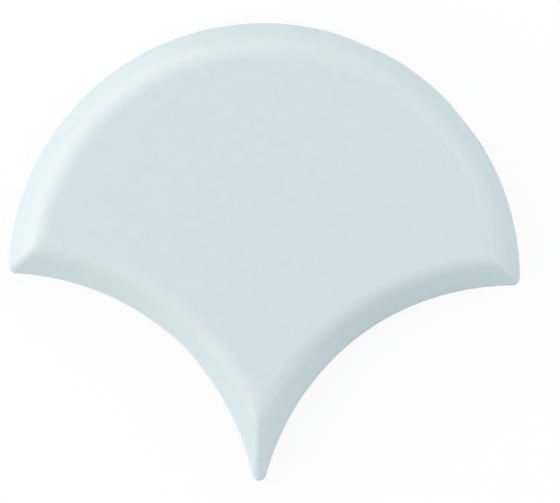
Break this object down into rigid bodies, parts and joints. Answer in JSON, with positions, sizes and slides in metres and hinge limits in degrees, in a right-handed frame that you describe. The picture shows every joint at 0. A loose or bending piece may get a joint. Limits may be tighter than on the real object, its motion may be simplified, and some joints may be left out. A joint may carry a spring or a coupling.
{
  "type": "fish scale tile",
  "caption": "Glazed fish scale wall tile with a round head, hollow flanks that nest neighbouring heads, a bevelled edge and a ribbed back.",
  "frame": {"origin": "centre of the round head's circle, on the back plane", "axes": "+X across the tile, +Y towards the round head, away from the tip, +Z out of the glazed face"},
  "size_m": [0.12, 0.1072, 0.008],
  "materials": {
    "glaze": "gloss"
  },
  "bodies": {
    "root": {"fish_scale_tile": "glaze"}
  },
  "joints": []
}
